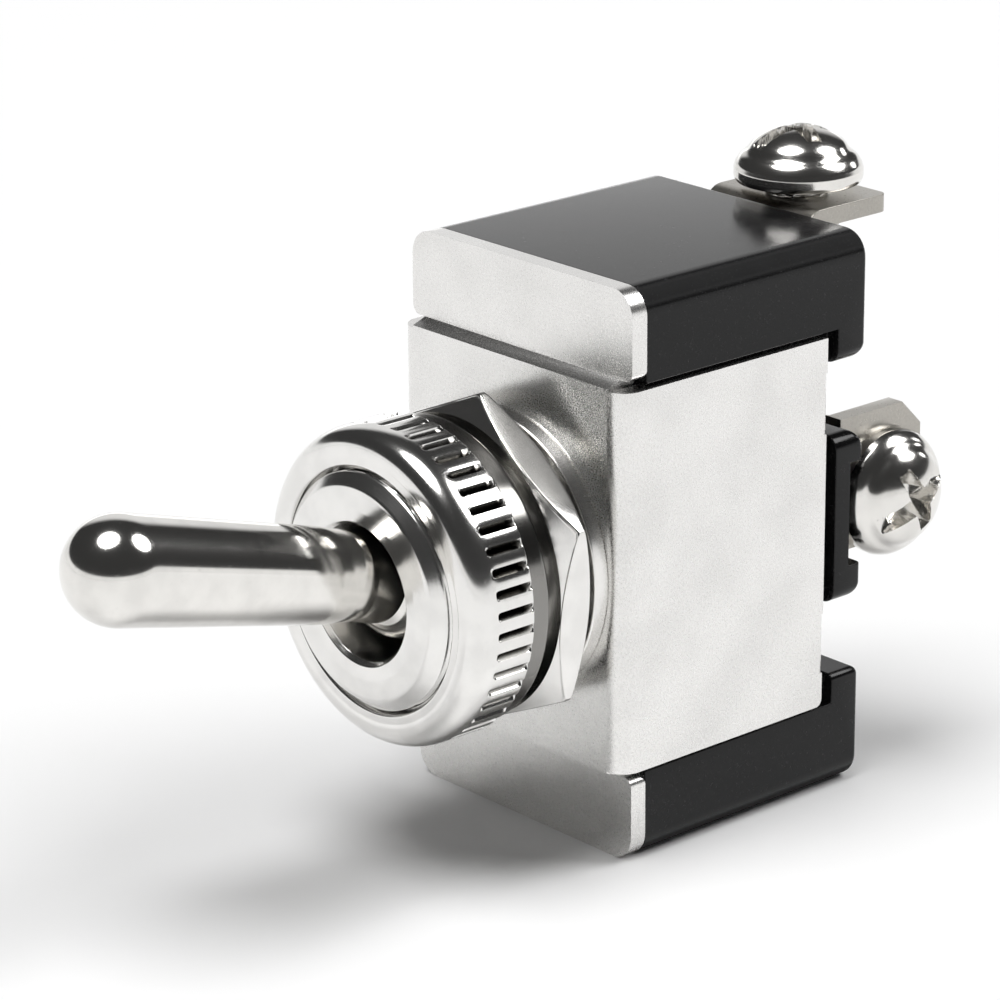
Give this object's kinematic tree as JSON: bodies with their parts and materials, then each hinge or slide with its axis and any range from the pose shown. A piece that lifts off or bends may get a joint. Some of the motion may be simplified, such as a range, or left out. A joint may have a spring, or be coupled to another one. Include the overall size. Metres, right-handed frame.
{
  "type": "panel toggle switch",
  "caption": "Bat-lever toggle switch with a threaded bushing, ring and hex nuts, a metal frame round a black moulded body, and screw terminals.",
  "frame": {"origin": "on the bushing axis, in the front face of the frame's centre panel", "axes": "-Y out along the bushing to the lever, +Y back to the terminals, +Z along the body's long side to the end terminal, +X to the right seen from the lever side"},
  "size_m": [0.0174, 0.0495, 0.0326],
  "materials": {
    "frame_nickel": "satin nickel plate on steel sheet",
    "housing_black": "glossy black phenolic moulding",
    "insulator_fibre": "vulcanised fibre card",
    "bushing_nickel": "bright nickel plate",
    "washer_nickel": "nickel plate",
    "hex_nut_nickel": "bright nickel plate",
    "ring_nut_nickel": "bright nickel plate",
    "lever_nickel": "polished nickel plate",
    "pin_steel": "ground steel",
    "spring_steel": "drawn music wire",
    "plunger_nylon": "natural nylon",
    "arm_brass": "rolled brass",
    "contact_silver": "silver alloy",
    "cradle_brass": "rolled brass",
    "rivet_brass": "nickel-washed brass",
    "terminal_nickel": "nickel-plated brass strip",
    "screw_nickel": "bright nickel plate"
  },
  "bodies": {
    "switch_body": {"frame": "frame_nickel", "housing": "housing_black", "insulator_card": "insulator_fibre", "bushing": "bushing_nickel", "lock_washer": "washer_nickel", "arm_cradle": "cradle_brass", "common_rivet": "rivet_brass", "fixed_contact": "contact_silver", "top_terminal": "terminal_nickel", "side_terminal": "terminal_nickel"},
    "lever_body": {"lever": "lever_nickel", "lever_pin": "pin_steel", "lever_spring": "spring_steel"},
    "plunger_body": {"plunger": "plunger_nylon"},
    "contact_body": {"contact_arm": "arm_brass", "moving_contact": "contact_silver"},
    "hex_nut_body": {"hex_nut": "hex_nut_nickel"},
    "ring_nut_body": {"ring_nut": "ring_nut_nickel"},
    "top_screw_body": {"top_screw": "screw_nickel"},
    "side_screw_body": {"side_screw": "screw_nickel"}
  },
  "joints": [
    {"name": "lever_tilt", "type": "hinge", "parent": "switch_body", "child": "lever_body", "pos_m": [0, -0.0064, 0], "axis": [1, 0, 0], "range_deg": [0, 30.8]},
    {"name": "contact_rock", "type": "hinge", "parent": "switch_body", "child": "contact_body", "pos_m": [0, 0.01, 0], "axis": [1, 0, 0], "range_deg": [-12, 0]},
    {"name": "plunger_press", "type": "slide", "parent": "lever_body", "child": "plunger_body", "axis": [0, -0.9641, 0.2656], "range_m": [0, 0.0006], "stiffness_N_per_m": 500, "springref_m": -0.001, "deforming": ["lever_spring"]},
    {"name": "hex_nut_slide", "type": "slide", "parent": "switch_body", "child": "hex_nut_body", "axis": [0, -1, 0], "range_m": [-0.0006, 0.0004]},
    {"name": "ring_nut_slide", "type": "slide", "parent": "switch_body", "child": "ring_nut_body", "axis": [0, -1, 0], "range_m": [0, 0.0056]},
    {"name": "top_screw_slide", "type": "slide", "parent": "switch_body", "child": "top_screw_body", "axis": [0, 0, 1], "range_m": [-0.0005, 0.0025]},
    {"name": "side_screw_slide", "type": "slide", "parent": "switch_body", "child": "side_screw_body", "axis": [1, 0, 0], "range_m": [0, 0.0025]}
  ],
  "couplings": [
    {"joint": "contact_rock", "follows": "lever_tilt", "ratio": -0.38961}
  ]
}
